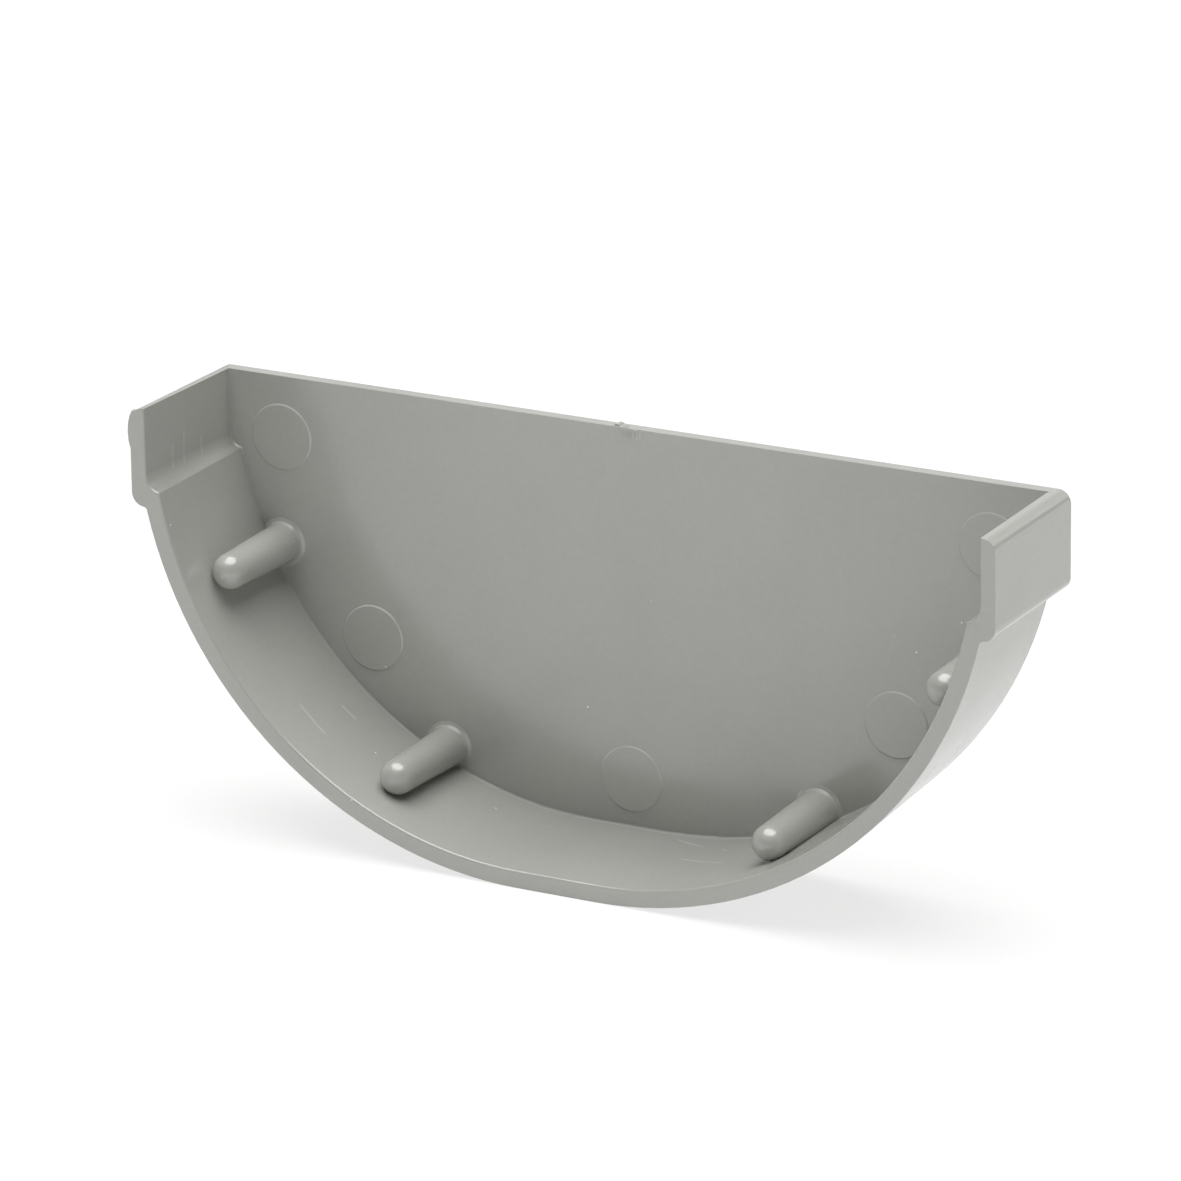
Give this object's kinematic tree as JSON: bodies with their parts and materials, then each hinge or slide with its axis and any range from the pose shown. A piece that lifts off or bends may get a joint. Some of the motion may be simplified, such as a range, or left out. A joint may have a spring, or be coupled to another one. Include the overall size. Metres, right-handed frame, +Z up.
{
  "type": "gutter end cap",
  "caption": "Moulded end cap for a half-round rain gutter: a flat end plate with a socket flange, an ear at each top corner and round-nosed pegs inside.",
  "frame": {"origin": "under the middle of the cap, level with the flat at the foot of the flange that it stands on", "axes": "+X across the gutter, +Y out of the end plate's flat back, away from the gutter, +Z up; the socket opens towards -Y"},
  "size_m": [0.1181, 0.0214, 0.054],
  "materials": {
    "upvc": "satin moulded grey uPVC"
  },
  "bodies": {
    "root": {"end_cap": "upvc"}
  },
  "joints": []
}
